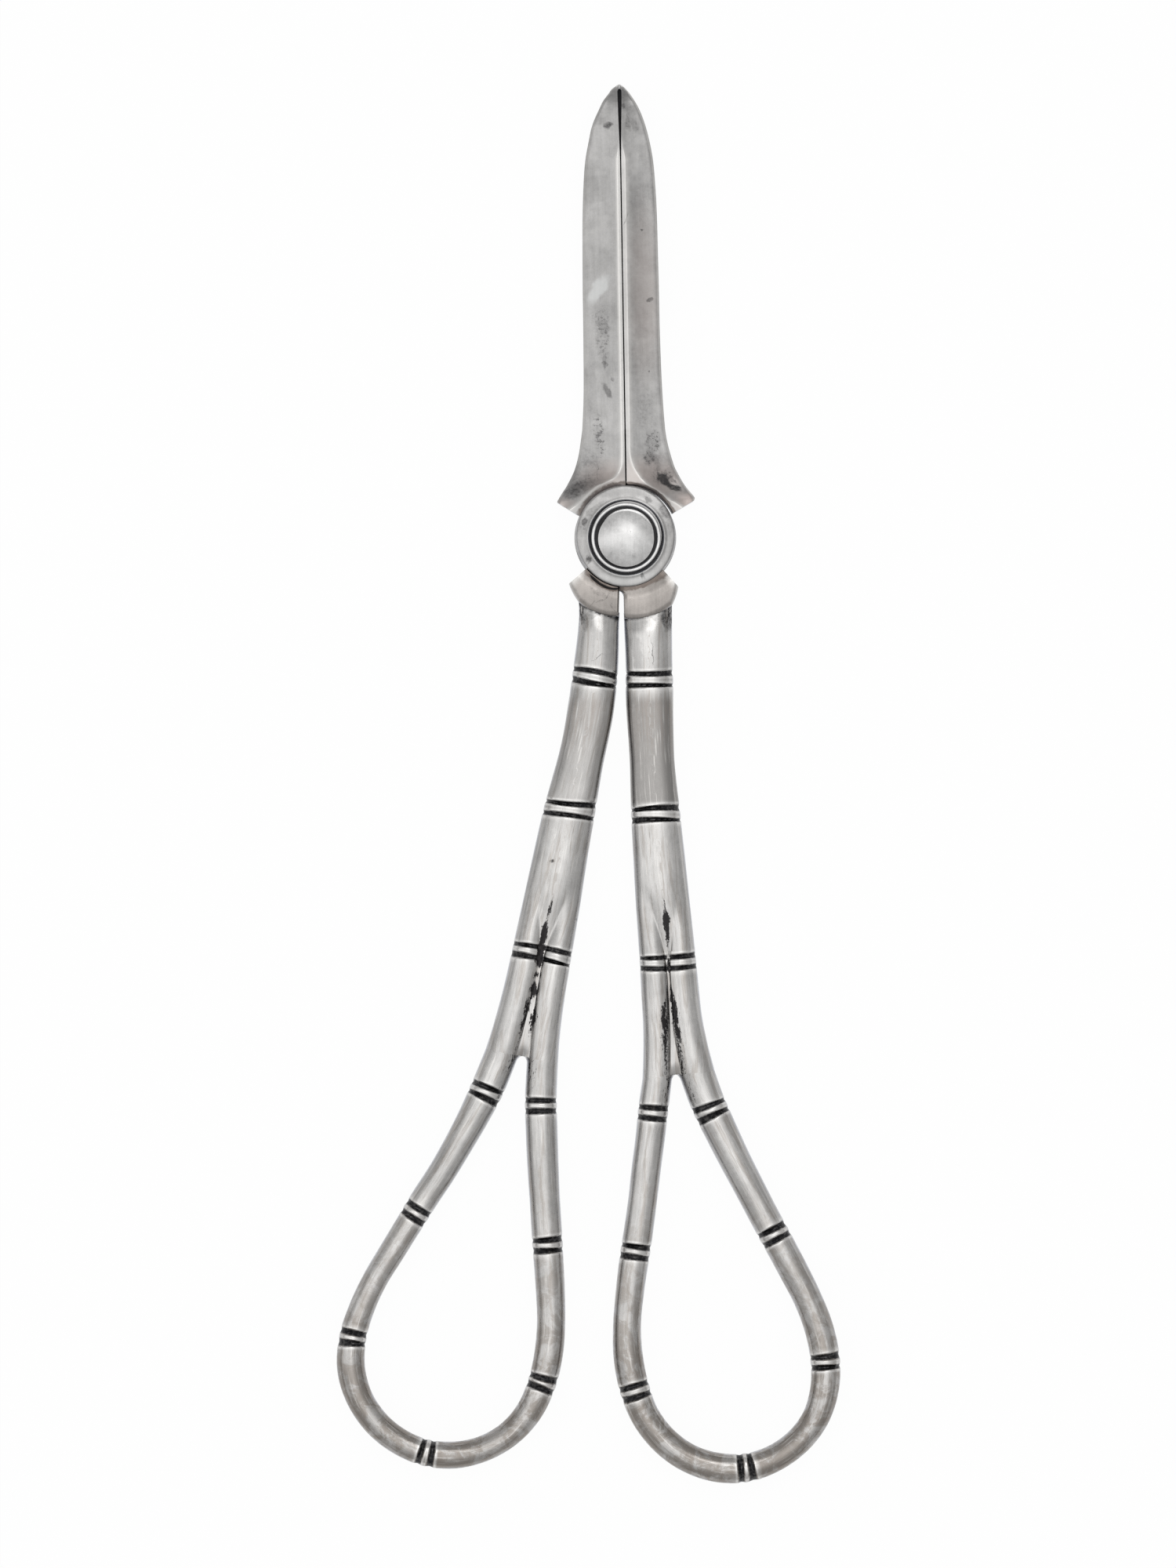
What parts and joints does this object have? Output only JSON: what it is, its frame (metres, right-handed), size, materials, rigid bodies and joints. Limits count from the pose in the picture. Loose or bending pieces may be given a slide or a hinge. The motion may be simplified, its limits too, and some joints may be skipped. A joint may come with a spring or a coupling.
{
  "type": "grape shears",
  "caption": "Silver table shears for cutting grape stalks: two short pointed blades on a domed pivot, with long bamboo-cane handles bent into finger loops.",
  "frame": {"origin": "on the pivot's axis, in the plane of the back leaf's outer face, which the hub rests on", "axes": "+Y along the closed seam towards the blades' tips, +Z along the pivot's axis out of the decorated face, +X to the side of the back arm's blade"},
  "size_m": [0.0644, 0.1786, 0.0058],
  "materials": {
    "blade_silver": "worn satin silver, tarnished in spots",
    "bolster_silver": "worn silver with a warm tint",
    "handle_silver": "worn silver, dark in the grooves",
    "pivot_silver": "polished silver",
    "screw_steel": "plain steel"
  },
  "bodies": {
    "back_arm": {"back_blade": "blade_silver", "back_bolster": "bolster_silver", "back_handle": "handle_silver", "pivot_stud": "pivot_silver", "cup_washer": "pivot_silver", "pivot_screw": "screw_steel"},
    "front_arm": {"front_blade": "blade_silver", "front_bolster": "bolster_silver", "front_handle": "handle_silver"}
  },
  "joints": [
    {"name": "blade_pivot", "type": "hinge", "parent": "back_arm", "child": "front_arm", "pos_m": [0, 0, 0.0023], "axis": [0, 0, 1], "range_deg": [0, 55]}
  ]
}
